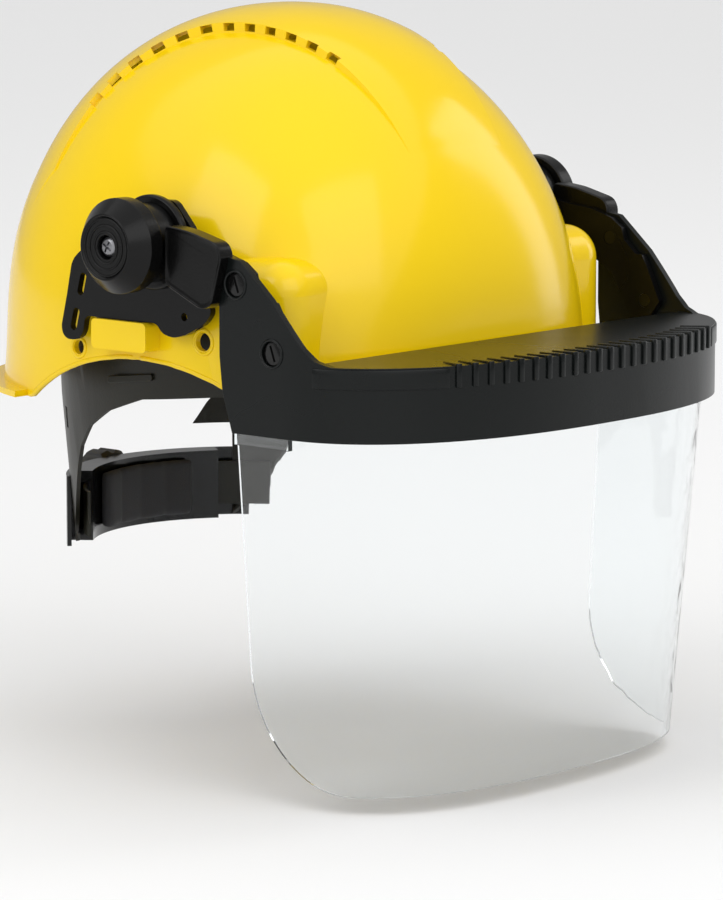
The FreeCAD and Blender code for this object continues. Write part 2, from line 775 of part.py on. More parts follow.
def add_circle(sketch, x, y, radius):
    """A circle with its centre and radius given by expressions."""
    centre = Vector(value_of(x), value_of(y), 0)
    index = sketch.addGeometry(Part.Circle(centre, Vector(0, 0, 1), value_of(radius)), False)
    bind(sketch, Sketcher.Constraint("DistanceX", -1, 1, index, 3, centre.x), on_sheet(x))
    bind(sketch, Sketcher.Constraint("DistanceY", -1, 1, index, 3, centre.y), on_sheet(y))
    bind(sketch, Sketcher.Constraint("Radius", index, value_of(radius)), on_sheet(radius))


def turned_body(label, corners):
    """A body revolved about its own Z axis from (radius, height) corners."""
    body = new_body(label)
    sketch = new_sketch(body, "XZ_Plane", "profile")
    add_outline(sketch, corners)
    turn = body.newObject("PartDesign::Revolution", body.Name + "_turn")
    turn.Profile = sketch
    turn.ReferenceAxis = (sketch, ["V_Axis"])
    turn.Angle = 360.0
    doc.recompute()
    return body


def face_outwards(body, side, station):
    """Puts a turned body on the pivot line, its Z axis pointing away from the helmet."""
    body.Placement = Placement(Vector(0, 0, 0), Rotation(Vector(0, 0, 1), Vector(side, 0, 0)))
    sign = "-" if side < 0 else ""
    body.setExpression("Placement.Base.x", on_sheet(f"{sign}({station})"))
    body.setExpression("Placement.Base.y", "sizes.pivot_y")
    body.setExpression("Placement.Base.z", "sizes.pivot_z")


def flat_body(label, side, station, thickness, corners):
    """A plate padded outwards along X from a (y, z) outline."""
    body = new_body(label)
    sketch = new_sketch(body, "YZ_Plane", "outline")
    add_outline(sketch, corners)
    pad = body.newObject("PartDesign::Pad", body.Name + "_pad")
    pad.Profile = sketch
    pad.setExpression("Length", on_sheet(thickness))
    pad.Reversed = side < 0
    body.setExpression("Placement.Base.x", on_sheet(("-" if side < 0 else "") + f"({station})"))
    doc.recompute()
    return body


def cut_through(body, side, name, draw):
    """A pocket right through a flat body; draw(sketch) adds the outlines."""
    sketch = new_sketch(body, "YZ_Plane", name)
    draw(sketch)
    pocket = body.newObject("PartDesign::Pocket", body.Name + "_" + name + "_cut")
    pocket.Profile = sketch
    pocket.Type = "ThroughAll"
    pocket.Reversed = side > 0
    before = body.Shape.Volume
    doc.recompute()
    if body.Shape.Volume > before - 0.5:
        raise RuntimeError(f"{body.Label}: {name} cuts nothing")


# ---------------------------------------------------------------- pivot, one set on each side

PLATE_OUTER = "plate_inner + plate_thickness"
BASE_OUTER = PLATE_OUTER + " + base_thickness"
ARM_INNER = BASE_OUTER + " + side_gap"
ARM_OUTER = ARM_INNER + " + arm_thickness"
HUB_OUTER = ARM_OUTER + " + hub_length"
WASHER_INNER = HUB_OUTER + " + 0.1"
CAP_INNER = WASHER_INNER + " + washer_thickness + 0.1"
BORE = "post_radius + running_gap"
HUB_RADIUS = "(pivot_radius - 3)"
SCREW_RADIUS = "2"
SCREW_HEAD_RADIUS = "4"
SCREW_SEAT = "(cap_length - 4)"
FLANGE = "2"
BLOCK_FOOT = f"frame_half_width + 0.3 - ({ARM_OUTER})"

BRACKET_OUTLINE = (
    # (y, z): tongue, ear strip behind, round the pivot disc, lobe in front
    ("7", "29"),
    ("7", "boss_top + 0.3"),
    ("boss_rear + 5.8", "boss_top + 0.3"),
    ("boss_rear + 7", "31"),
    ("19.5", "28"),
    ("26", "28"),
    ("28.5", "32"),
    ("25", "46"),
    ("22", "60"),
    ("18", "64"),
    ("pivot_y + 21", "pivot_z + 6"),
    ("pivot_y + 10", "pivot_z + 17"),
    ("pivot_y - 10", "pivot_z + 17"),
    ("pivot_y - 20", "pivot_z + 6"),
    ("pivot_y - 22", "pivot_z - 12"),
    ("-55", "45"),
    ("-51", "40"),
    ("-41", "35"),
    ("-34", "33"),
    ("-27.5", "34.5"),
    ("-25", "boss_top + 0.3"),
    ("-17", "boss_top + 0.3"),
    ("-17", "29"),
)
EAR_SLOTS = (("16.5", "51"), ("20.5", "36.5"))  # centres of the two oval slots
EAR_SLOT_RADIUS = "1.7"
EAR_SLOT_HALF = 3.0
EAR_SLOT_LEAN = (-0.26, 0.966)
LOBE_HOLE = ("-40", "42")
RIVETS = ((-77.0, 58.5), (-96.0, 33.0))
RIVET_SHANK = 3.0
ARM_OUTLINE = (
    # (y, z): hub, along the top to the upper rivet, down to the lower rivet, back under
    ("pivot_y + 8", "pivot_z - 13"),
    ("pivot_y + 15", "pivot_z"),
    ("pivot_y + 10", "pivot_z + 12"),
    ("pivot_y", "pivot_z + 16"),
    ("-37", "75"),
    ("-54", "71.7"),
    ("-67", "70.3"),
    ("-78", "67"),
    ("-83.5", "63"),
    ("-85", "58"),
    ("-91", "52.5"),
    ("-94.5", "52.3"),
    ("-97", "48"),
    ("-104", "33"),
    ("-98", "25"),
    ("-88", "27"),
    ("-78", "44"),
    ("-66", "51"),
    ("pivot_y - 14", "pivot_z - 12"),
)
BLOCK_OUTLINE = (
    # the face, which laps over the frame's arm
    ("-42.5", "55.5"),
    ("-42.5", "76.5"),
    ("-52", "75.5"),
    ("-66", "73"),
    ("-74", "69.5"),
    ("-75", "53"),
    ("-71", "48.5"),
    ("-65", "47.5"),
)
BLOCK_FOOT_OUTLINE = (
    # the foot between the face and the link arm, behind the frame's arm
    ("-42.5", "55.5"),
    ("-42.5", "76.5"),
    ("-52", "75.5"),
    ("-66", "73"),
    ("-68", "72.5"),
    ("-68", "48"),
    ("-65", "47.5"),
)


def ear_slots(sketch):
    """Two oval slots in the ear strip and the small hole in the lobe."""
    lean_y, lean_z = EAR_SLOT_LEAN
    radius = value_of(EAR_SLOT_RADIUS)
    for y, z in EAR_SLOTS:
        centre = Vector(value_of(y), value_of(z), 0)
        along = Vector(lean_y, lean_z, 0)
        aside = Vector(-lean_z, lean_y, 0) * radius
        ends = (centre - along * EAR_SLOT_HALF, centre + along * EAR_SLOT_HALF)
        sketch.addGeometry(Part.LineSegment(ends[0] + aside, ends[1] + aside), False)
        sketch.addGeometry(Part.Arc(ends[1] + aside, ends[1] + along * radius, ends[1] - aside), False)
        sketch.addGeometry(Part.LineSegment(ends[1] - aside, ends[0] - aside), False)
        sketch.addGeometry(Part.Arc(ends[0] - aside, ends[0] - along * radius, ends[0] + aside), False)
    add_circle(sketch, LOBE_HOLE[0], LOBE_HOLE[1], "1.6")


for name, side in SIDES:
    bracket = flat_body(f"bracket_{name}", side, "plate_inner", "plate_thickness", BRACKET_OUTLINE)
    cut_through(bracket, side, "slots", ear_slots)
    cut_through(bracket, side, "post_hole", lambda sketch: add_circle(sketch, "pivot_y", "pivot_z", BORE))

    base = turned_body(
        f"pivot_base_{name}",
        (
            (BORE, "0"),
            ("pivot_radius - 0.8", "0"),
            ("pivot_radius", "0.8"),
            ("pivot_radius", "base_thickness - 0.8"),
            ("pivot_radius - 0.8", "base_thickness"),
            (BORE, "base_thickness"),
        ),
    )
    face_outwards(base, side, PLATE_OUTER)

    tall = f"({CAP_INNER}) - plate_inner"
    post = turned_body(
        f"pivot_post_{name}",
        (
            (SCREW_RADIUS, f"-{FLANGE}"),
            ("post_radius + 3", f"-{FLANGE}"),
            ("post_radius + 3", "0"),
            ("post_radius", "0"),
            ("post_radius", tall),
            (SCREW_RADIUS, tall),
        ),
    )
    face_outwards(post, side, "plate_inner")

    washer = turned_body(
        f"wave_washer_{name}",
        ((BORE, "0"), ("post_radius + 5", "0"), ("post_radius + 5", "washer_thickness"), (BORE, "washer_thickness")),
    )
    face_outwards(washer, side, WASHER_INNER)

    cap = turned_body(
        f"pivot_cap_{name}",
        (
            (SCREW_RADIUS, "0"),
            ("pivot_radius - 0.6", "0"),
            ("pivot_radius", "0.6"),
            ("pivot_radius", "cap_length / 2"),
            ("cap_face_radius + 0.6", "cap_length"),
            ("cap_face_radius", "cap_length"),
            ("cap_face_radius - 0.6", "cap_length - 0.8"),
            (f"{SCREW_HEAD_RADIUS} + 0.8", "cap_length - 0.8"),
            (f"{SCREW_HEAD_RADIUS} + 0.4", SCREW_SEAT),
            (SCREW_RADIUS, SCREW_SEAT),
        ),
    )
    face_outwards(cap, side, CAP_INNER)

    screw = turned_body(
        f"pivot_screw_{name}",
        (
            ("0", "-10"),
            (SCREW_RADIUS, "-10"),
            (SCREW_RADIUS, SCREW_SEAT),
            (SCREW_HEAD_RADIUS, SCREW_SEAT),
            (SCREW_HEAD_RADIUS, f"{SCREW_SEAT} + 1.4"),
            (f"{SCREW_HEAD_RADIUS} - 1.2", f"{SCREW_SEAT} + 2.4"),
            ("0", f"{SCREW_SEAT} + 2.7"),
        ),
    )
    face_outwards(screw, side, CAP_INNER)

    arm = flat_body(f"link_arm_{name}", side, ARM_INNER, "arm_thickness", ARM_OUTLINE)
    hub = new_sketch(arm, "YZ_Plane", "hub")
    add_circle(hub, "pivot_y", "pivot_z", HUB_RADIUS)
    hub_pad = arm.newObject("PartDesign::Pad", arm.Name + "_hub_pad")
    hub_pad.Profile = hub
    hub_pad.setExpression("Length", "sizes.arm_thickness + sizes.hub_length")
    hub_pad.Reversed = side < 0
    doc.recompute()

    def arm_holes(sketch):
        """The bore for the post and the holes for the two rivets."""
        add_circle(sketch, "pivot_y", "pivot_z", BORE)
        for y, z in RIVETS:
            add_circle(sketch, str(y), str(z), str(RIVET_SHANK))

    cut_through(arm, side, "holes", arm_holes)

    clip_block = flat_body(f"clip_block_{name}", side, ARM_OUTER, BLOCK_FOOT, BLOCK_FOOT_OUTLINE)
    face = new_sketch(clip_block, "YZ_Plane", "face")
    add_outline(face, BLOCK_OUTLINE)
    face.setExpression("AttachmentOffset.Base.z", on_sheet(("-" if side < 0 else "") + f"({BLOCK_FOOT})"))
    face_pad = clip_block.newObject("PartDesign::Pad", clip_block.Name + "_face_pad")
    face_pad.Profile = face
    face_pad.setExpression("Length", "sizes.block_face")
    face_pad.Reversed = side < 0
    doc.recompute()

# ---------------------------------------------------------------- visor frame and shield

FRAME_OUTLINE = (
    # (y, z) of the frame seen from the side: rear edge, top of the arm, slanted front edge, band
    (-75, 0),
    (-70, 16),
    (-68.5, 30),
    (-68.5, 55),
    (-69.5, 66),
    (-73.5, 69),
    (-79.5, 68),
    (-83, 65),
    (-95.5, 54),
    (-111, 36),
    (-116.5, 31.5),
    (-123, 29.5),
    (-300, 29.5),
    (-300, 0),
)


def horseshoe(level, half_width, reach, back):
    """A U-shaped plan curve: straight sides, a squarish bend, closed straight across at the back."""
    power = size("frame_power")
    centre = size("frame_centre")
    steps = 20
    bend = []
    for step in range(steps + 1):
        angle = math.pi + math.pi * step / steps
        x, y = ring_point(angle, half_width, reach, reach, power, power)
        bend.append(Vector(x, y + centre, level))
    side_steps = 5
    length = back - centre
    stations = [back - length * step / side_steps for step in range(side_steps)]
    right = [Vector(-half_width, y, level) for y in stations]
    left = [Vector(half_width, y, level) for y in reversed(stations)]
    curve = Part.BSplineCurve()
    curve.interpolate(right + bend + left)
    return Part.Wire([curve.toShape(), Part.makeLine(left[-1], right[0])])


def horseshoe_wall(half_width, reach, wall, low, high, back):
    """An upright wall that follows the horseshoe."""
    outer = Part.Face(horseshoe(low, half_width, reach, back)).extrude(Vector(0, 0, high - low))
    inner = Part.Face(horseshoe(low, half_width - wall, reach - wall, back + 10)).extrude(Vector(0, 0, high - low))
    return outer.cut(inner)


def make_frame():
    half_width = size("frame_half_width")
    reach = size("frame_reach")
    wall = size("frame_wall")
    frame = horseshoe_wall(half_width, reach, wall, -5, 90, -50).common(side_prism(FRAME_OUTLINE, -FAR, FAR))
    top = size("frame_top")
    low = top - size("ledge_thickness")
    plate = Part.Face(horseshoe(low, half_width - wall / 2, reach - wall / 2, -50)).extrude(Vector(0, 0, top - low))
    plate = plate.common(block(-FAR, FAR, -FAR, size("ledge_rear"), low, top))
    frame = frame.fuse(plate)
    for _, side in SIDES:
        for y, z in RIVETS:
            frame = frame.cut(x_cylinder(RIVET_SHANK, side * 100, side * 130, y, z))
            seat = x_cylinder(size("rivet_radius"), side * (half_width - 1.6), side * 130, y, z)
            frame = frame.cut(seat)
    return frame


add_shape("visor_frame", make_frame())


def make_rivets():
    """Four rivets from the frame arms into the link arms."""
    outer = size("frame_half_width") - 1.6
    rivets = []
    for _, side in SIDES:
        for y, z in RIVETS:
            inner = value_of(ARM_INNER) + 0.2
            shank = x_cylinder(RIVET_SHANK, side * inner, side * outer, y, z)
            head = x_cylinder(size("rivet_radius") - 0.4, side * outer, side * (outer + 1.0), y, z)
            rivets.append(shank.fuse(head).removeSplitter())
    return Part.Compound(rivets)


add_shape("frame_rivets", make_rivets())


def shield_solid(inset):
    """The tapering space inside the sheet's outer face, taken in by the inset."""
    gap = size("frame_wall") + size("shield_gap") + inset
    half_width = size("frame_half_width") - gap
    reach = size("frame_reach") - gap
    wide = horseshoe(size("shield_top"), half_width, reach, -50 + inset)
    narrow = horseshoe(
        size("shield_bottom"), half_width - size("shield_taper"), reach - size("shield_front_taper"), -50 + inset
    )
    return Part.makeLoft([narrow, wide], True, True)


def make_shield():
    sheet_wall = shield_solid(0).cut(shield_solid(size("shield_thickness")))
    rear = size("shield_rear")
    low = size("shield_bottom")
    profile = side_prism(((rear, 60), (-FAR, 60), (-FAR, low), (rear, low)), -FAR, FAR)
    return sheet_wall.common(rounded(profile, size("shield_corner"), lower_rear_edge))


def lower_rear_edge(edge):
    """True for the one edge of the profile block at its lower rear corner."""
    box = edge.BoundBox
    at_rear = abs(box.YMin - size("shield_rear")) < 0.1 and abs(box.YMax - size("shield_rear")) < 0.1
    at_bottom = abs(box.ZMax - size("shield_bottom")) < 0.1
    return along_x(edge) and at_rear and at_bottom


add_shape("visor_shield", make_shield())

# clear strips that close the bottom of the frame at the ends of the sheet
strip_wall = horseshoe_wall(size("frame_half_width") - 0.5, size("frame_reach") - 0.5, 2.4, -4.5, -0.1, -50)
for name, side in SIDES:
    strip = strip_wall.common(block(0, side * FAR, -104, size("shield_rear") - 3, -4.5, -0.1))
    add_shape(f"shield_clip_{name}", strip)

# ---------------------------------------------------------------- ratchet knob

knob = turned_body(
    "ratchet_knob",
    (
        ("0", "0"),
        ("knob_radius - 1.5", "0"),
        ("knob_radius", "1.5"),
        ("knob_radius", "knob_length - 3"),
        ("knob_radius - 3", "knob_length"),
        ("0", "knob_length"),
    ),
)
flute = new_sketch(knob, "XY_Plane", "flute")
add_circle(flute, "knob_radius + 1.2", "0", "2.6")
flute_cut = knob.newObject("PartDesign::Pocket", "flute_cut")
flute_cut.Profile = flute
flute_cut.Type = "ThroughAll"
flute_cut.Reversed = True
flutes = knob.newObject("PartDesign::PolarPattern", "flutes")
flutes.Originals = [flute_cut]
flutes.Axis = (next(item for item in knob.Origin.OriginFeatures if item.Role == "Z_Axis"), [""])
flutes.Angle = 360.0
flutes.setExpression("Occurrences", "sizes.knob_grips")
knob.Tip = flutes
knob.Placement = Placement(Vector(0, KNOB_SEAT, CASE_MIDDLE), Rotation(Vector(0, 0, 1), Vector(0, 1, 0)))
doc.recompute()

# ---------------------------------------------------------------- checks and files

bad = []
for item in doc.Objects:
    if "Invalid" in item.State or "Error" in item.State:
        bad.append(item.Name)
for item in subparts:
    if item.Shape.isNull() or not item.Shape.isValid():
        bad.append(item.Label)
if bad:
    raise RuntimeError("failed objects: " + ", ".join(bad))
for item in subparts:
    item.Shape.exportStep(os.path.join("parts", item.Label + ".step"))
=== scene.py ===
import math

import bmesh
import bpy
from mathutils import Matrix, Vector
from mathutils.bvhtree import BVHTree


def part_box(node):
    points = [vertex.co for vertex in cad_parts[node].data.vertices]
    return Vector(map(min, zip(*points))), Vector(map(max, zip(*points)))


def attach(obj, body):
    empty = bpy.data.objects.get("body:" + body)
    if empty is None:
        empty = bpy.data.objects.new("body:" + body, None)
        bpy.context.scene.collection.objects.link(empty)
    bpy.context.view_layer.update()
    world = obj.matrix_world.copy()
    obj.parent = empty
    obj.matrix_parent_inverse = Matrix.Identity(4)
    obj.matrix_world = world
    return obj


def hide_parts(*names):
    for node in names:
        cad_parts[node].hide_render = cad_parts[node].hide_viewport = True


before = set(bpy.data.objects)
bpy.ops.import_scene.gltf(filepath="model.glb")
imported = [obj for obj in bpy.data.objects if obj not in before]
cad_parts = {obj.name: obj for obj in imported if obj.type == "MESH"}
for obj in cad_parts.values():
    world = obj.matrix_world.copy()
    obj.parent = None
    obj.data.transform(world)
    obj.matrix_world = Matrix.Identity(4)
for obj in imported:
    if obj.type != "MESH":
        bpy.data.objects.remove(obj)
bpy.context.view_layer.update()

# ---------------------------------------------------------------- shell
# The shell is one injection moulding in yellow ABS, polished in the mould so that it
# comes out glossy. Its ridge carries two rows of vents, and it fades only faintly over
# large areas, with a slight waviness where the plastic shrank as it cooled.


def surface_group():
    """Moulded plastic: a colour that drifts a little, uneven gloss and a fine relief."""
    group = bpy.data.node_groups.new("moulded_surface", "ShaderNodeTree")
    sockets = group.interface
    for name, kind in (("Colour", "NodeSocketColor"), ("Drift Colour", "NodeSocketColor"),
                       ("Gloss Low", "NodeSocketFloat"), ("Gloss High", "NodeSocketFloat"),
                       ("Patch Scale", "NodeSocketFloat"), ("Grain Scale", "NodeSocketFloat")):
        sockets.new_socket(name, in_out="INPUT", socket_type=kind)
    for name, kind in (("Colour", "NodeSocketColor"), ("Roughness", "NodeSocketFloat"),
                       ("Height", "NodeSocketFloat")):
        sockets.new_socket(name, in_out="OUTPUT", socket_type=kind)
    nodes, links = group.nodes, group.links
    given = nodes.new("NodeGroupInput")
    out = nodes.new("NodeGroupOutput")
    place = nodes.new("ShaderNodeTexCoord")
    patches = nodes.new("ShaderNodeTexNoise")
    patches.inputs["Detail"].default_value = 3.0
    grain = nodes.new("ShaderNodeTexNoise")
    grain.inputs["Detail"].default_value = 2.0
    tint = nodes.new("ShaderNodeMix")
    tint.data_type = "RGBA"
    gloss = nodes.new("ShaderNodeMapRange")
    links.new(place.outputs["Object"], patches.inputs["Vector"])
    links.new(place.outputs["Object"], grain.inputs["Vector"])
    links.new(given.outputs["Patch Scale"], patches.inputs["Scale"])
    links.new(given.outputs["Grain Scale"], grain.inputs["Scale"])
    links.new(patches.outputs["Fac"], tint.inputs["Factor"])
    links.new(given.outputs["Colour"], tint.inputs["A"])
    links.new(given.outputs["Drift Colour"], tint.inputs["B"])
    links.new(patches.outputs["Fac"], gloss.inputs["Value"])
    gloss.inputs["From Min"].default_value = 0.3
    gloss.inputs["From Max"].default_value = 0.7
    links.new(given.outputs["Gloss Low"], gloss.inputs["To Min"])
    links.new(given.outputs["Gloss High"], gloss.inputs["To Max"])
    links.new(tint.outputs["Result"], out.inputs["Colour"])
    links.new(gloss.outputs["Result"], out.inputs["Roughness"])
    links.new(grain.outputs["Fac"], out.inputs["Height"])
    return group


moulded_surface = surface_group()
RELIEF_DEPTH = 0.0002
PLASTIC_IOR = 1.5
COAT_ROUGHNESS = 0.04


def plastic(name, colour, drift, gloss, grain_scale, relief, coat=0.0, patch_scale=9.0, shine=0.5):
    """A moulded plastic. Gloss is its roughness where best and worst polished, shine how much it mirrors."""
    material = bpy.data.materials.new(name)
    material.use_nodes = True
    nodes, links = material.node_tree.nodes, material.node_tree.links
    shader = nodes["Principled BSDF"]
    look = nodes.new("ShaderNodeGroup")
    look.node_tree = moulded_surface
    look.inputs["Colour"].default_value = (*colour, 1.0)
    look.inputs["Drift Colour"].default_value = (*drift, 1.0)
    look.inputs["Gloss Low"].default_value = gloss[0]
    look.inputs["Gloss High"].default_value = gloss[1]
    look.inputs["Patch Scale"].default_value = patch_scale
    look.inputs["Grain Scale"].default_value = grain_scale
    bump = nodes.new("ShaderNodeBump")
    bump.inputs["Strength"].default_value = relief
    bump.inputs["Distance"].default_value = RELIEF_DEPTH
    links.new(look.outputs["Colour"], shader.inputs["Base Color"])
    links.new(look.outputs["Roughness"], shader.inputs["Roughness"])
    links.new(look.outputs["Height"], bump.inputs["Height"])
    links.new(bump.outputs["Normal"], shader.inputs["Normal"])
    shader.inputs["IOR"].default_value = PLASTIC_IOR
    shader.inputs["Specular IOR Level"].default_value = shine
    shader.inputs["Coat Weight"].default_value = coat
    shader.inputs["Coat Roughness"].default_value = COAT_ROUGHNESS
    return material


def finish(node, material):
    """Gives a CAD piece its one material."""
    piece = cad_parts[node]
    piece.data.materials.clear()
    piece.data.materials.append(material)


yellow_abs = plastic("yellow_abs", (0.83, 0.575, 0.004), (0.81, 0.545, 0.003), (0.14, 0.19), 60.0, 0.03,
                     coat=0.05, patch_scale=5.0, shine=0.3)
finish("shell", yellow_abs)

# The rim of each ear arch is rolled into a bead that stiffens it.
BEAD_RADIUS = 0.0011
BEAD_SET_IN = 0.0006
BEAD_FRONT = -0.056
BEAD_REAR = 0.060
BEAD_STEPS = 44
OUTSIDE = 0.16
PROBE_REACH = 0.09
PROBE_START = -0.002
PROBE_STEP = 0.0002
PROBE_COUNT = 240
shell_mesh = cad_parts["shell"].data
shell_tree = BVHTree.FromPolygons([corner.co for corner in shell_mesh.vertices],
                                  [tuple(face.vertices) for face in shell_mesh.polygons])


def rim_point(turn, y):
    """The lowest point of the shell's outer face at one station beside the ear."""
    for step in range(PROBE_COUNT):
        start = Vector((turn * OUTSIDE, y, PROBE_START + step * PROBE_STEP))
        place, facing, index, distance = shell_tree.ray_cast(start, Vector((-turn, 0, 0)), PROBE_REACH)
        if place is not None:
            return place
    return None


for turn in (-1.0, 1.0):
    side = "right" if turn < 0 else "left"
    stations = [BEAD_FRONT + (BEAD_REAR - BEAD_FRONT) * step / BEAD_STEPS for step in range(BEAD_STEPS + 1)]
    line = [place for place in (rim_point(turn, y) for y in stations) if place is not None]
    path = bpy.data.curves.new(f"rim_path_{side}", "CURVE")
    path.dimensions = "3D"
    path.bevel_depth = BEAD_RADIUS
    path.bevel_resolution = 3
    path.use_fill_caps = True
    spline = path.splines.new("POLY")
    spline.points.add(len(line) - 1)
    for knot, place in zip(spline.points, line):
        knot.co = (place.x - turn * BEAD_SET_IN, place.y, place.z + BEAD_SET_IN, 1.0)
    bead = bpy.data.objects.new(f"rim_bead_{side}", path)
    bpy.context.collection.objects.link(bead)
    bpy.ops.object.select_all(action="DESELECT")
    bead.select_set(True)
    bpy.context.view_layer.objects.active = bead
    bpy.ops.object.convert(target="MESH")
    bead = bpy.context.object
    bead.name = f"rim_bead_{side}"
    bpy.ops.object.shade_smooth()
    bead.data.materials.clear()
    bead.data.materials.append(yellow_abs)
    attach(bead, "helmet")

# The four accessory holes have raised rings round them, given here as (y, z, radius).
HOLE_RINGS = ((0.0250, 0.0240, 0.0037), (-0.0430, 0.0315, 0.0045))
RING_CLEAR = 0.0004
RING_ROUND = 0.0007
for turn in (-1.0, 1.0):
    side = "right" if turn < 0 else "left"
    for number, (y, z, radius) in enumerate(HOLE_RINGS):
        inward = Vector((-turn, 0, 0))
        above = Vector((turn * OUTSIDE, y, z + radius))
        below = above - Vector((0, 0, 2 * radius))
        place, facing, index, distance = shell_tree.ray_cast(above, inward, PROBE_REACH)
        low_place, low_facing, index, distance = shell_tree.ray_cast(below, inward, PROBE_REACH)
        middle = (place + low_place) / 2
        facing = (facing + low_facing).normalized()
        bpy.ops.object.select_all(action="DESELECT")
        bpy.ops.mesh.primitive_torus_add(
            major_radius=radius + RING_CLEAR, minor_radius=RING_ROUND, major_segments=48, minor_segments=10,
            location=(middle.x, y, z), rotation=facing.to_track_quat("Z", "Y").to_euler())
        ring = bpy.context.object
        ring.name = f"hole_ring_{number}_{side}"
        bpy.ops.object.transform_apply(location=True, rotation=True, scale=True)
        bpy.ops.object.shade_smooth()
        ring.data.materials.append(yellow_abs)
        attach(ring, "helmet")

# ---------------------------------------------------------------- headband
# The headband is moulded in one piece from tough olive-black polyethylene, with a satin
# face. Its ends carry the toothed racks that run into the case at the nape.

MERGE_REACH = 0.00002
FLAT_WITHIN = 1.0
OUTLINE_CORNER = 14.0
SMOOTH_BELOW = 40.0


def soften(piece, width, segments, corner_angle):
    """Rounds the edges sharper than the angle, then shades all but the sharp ones smooth."""
    bevel = piece.modifiers.new("edges", "BEVEL")
    bevel.width = width
    bevel.segments = segments
    bevel.limit_method = "ANGLE"
    bevel.angle_limit = math.radians(corner_angle)
    bpy.ops.object.modifier_apply(modifier=bevel.name)
    bpy.ops.object.shade_smooth_by_angle(angle=math.radians(SMOOTH_BELOW))


def even_out(piece):
    """Keeps flat faces looking flat next to their rounded edges."""
    even = piece.modifiers.new("even", "WEIGHTED_NORMAL")
    even.keep_sharp = True
    even.weight = 100
    bpy.ops.object.modifier_apply(modifier=even.name)


def moulded_copy(node, body, edge_round, material, corner_angle=32.0, corner_round=0.0):
    """The CAD piece again with its sharp edges rounded, and the corners of its side outline too."""
    bpy.ops.object.select_all(action="DESELECT")
    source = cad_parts[node]
    piece = bpy.data.objects.new(node + "_moulded", source.data.copy())
    bpy.context.collection.objects.link(piece)
    bpy.context.view_layer.objects.active = piece
    piece.select_set(True)
    bpy.ops.object.mode_set(mode="EDIT")
    bpy.ops.mesh.select_all(action="SELECT")
    bpy.ops.mesh.remove_doubles(threshold=MERGE_REACH)
    bpy.ops.mesh.dissolve_limited(angle_limit=math.radians(FLAT_WITHIN))
    if corner_round:
        bpy.ops.mesh.select_all(action="DESELECT")
        bpy.ops.mesh.select_mode(type="EDGE")
        mesh = bmesh.from_edit_mesh(piece.data)
        for edge in mesh.edges:
            run = edge.verts[1].co - edge.verts[0].co
            through = abs(run.x) > 0.9 * run.length and run.length > 0.0012 and edge.is_manifold
            edge.select = through and edge.calc_face_angle() > math.radians(OUTLINE_CORNER)
        bmesh.update_edit_mesh(piece.data)
        bpy.ops.mesh.bevel(offset=corner_round, segments=5, clamp_overlap=True)
    bpy.ops.object.mode_set(mode="OBJECT")
    soften(piece, edge_round, 3, corner_angle)
    even_out(piece)
    piece.data.materials.clear()
    piece.data.materials.append(material)
    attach(piece, body)
    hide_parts(node)
    return piece


band_plastic = plastic("band_plastic", (0.0085, 0.008, 0.0045), (0.012, 0.0115, 0.0065),
                       gloss=(0.34, 0.46), grain_scale=900.0, relief=0.25, shine=0.28)
moulded_copy("headband", "helmet", 0.0005, band_plastic, corner_round=0.0060)
for node in ("nape_rack_right", "nape_rack_left", "strap_clips"):
    finish(node, band_plastic)


def rounded_outline(outline, corner_round, steps=5):
    """The outline with each corner turned into a short curve."""
    points = []
    for place, corner in enumerate(outline):
        middle = Vector(corner)
        before = Vector(outline[place - 1]) - middle
        after = Vector(outline[(place + 1) % len(outline)]) - middle
        start = middle + before.normalized() * min(corner_round, 0.45 * before.length)
        end = middle + after.normalized() * min(corner_round, 0.45 * after.length)
        for step in range(steps + 1):
            share = step / steps
            points.append(start * (1 - share) ** 2 + middle * 2 * share * (1 - share) + end * share ** 2)
    return points


RECESS_BORDER = 0.0014
PLATE_CORNER = 50.0


def plate(name, outline, inner, outer, corner_round, edge_round, recess, material, body):
    """A moulded plate seen from the side: its outline in (y, z), standing from |x| inner to outer."""
    turn = 1.0 if outer > 0 else -1.0
    points = rounded_outline(outline, corner_round)
    bpy.ops.object.select_all(action="DESELECT")
    bpy.ops.mesh.primitive_circle_add(vertices=len(points), radius=0.01, fill_type="NGON", location=(0, 0, 0))
    piece = bpy.context.object
    piece.name = name
    for corner, (y, z) in zip(piece.data.vertices, points):
        corner.co = (inner, y, z)
    bpy.ops.object.mode_set(mode="EDIT")
    bpy.ops.mesh.select_all(action="SELECT")
    bpy.ops.mesh.extrude_region_move(TRANSFORM_OT_translate={"value": (outer - inner, 0, 0)})
    if recess:
        bpy.ops.mesh.inset(thickness=edge_round + RECESS_BORDER)
        bpy.ops.transform.translate(value=(-turn * recess, 0, 0))
    bpy.ops.mesh.select_all(action="SELECT")
    bpy.ops.mesh.normals_make_consistent(inside=False)
    bpy.ops.object.mode_set(mode="OBJECT")
    soften(piece, edge_round, 3, PLATE_CORNER)
    even_out(piece)
    piece.data.materials.append(material)
    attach(piece, body)
    return piece


# a slim raised bar stands on each side of the band, under the ear arch
BAND_FACE = 0.0868
BAR_STAND = 0.0006
BAR_ROOT = 0.002
BAR = ((0.000, 0.0105), (0.025, 0.0075), (0.025, 0.0105), (0.000, 0.0135))
for turn in (-1.0, 1.0):
    side = "right" if turn < 0 else "left"
    plate(f"band_bar_{side}", BAR, turn * (BAND_FACE - BAR_ROOT), turn * (BAND_FACE + BAR_STAND),
          0.0012, 0.0004, 0.0, band_plastic, "helmet")

# ---------------------------------------------------------------- ratchet at the nape
# A black case in two halves holds a small gear that draws the two racks past each
# other. The knob behind it has a grained grip with scallops for the fingers.

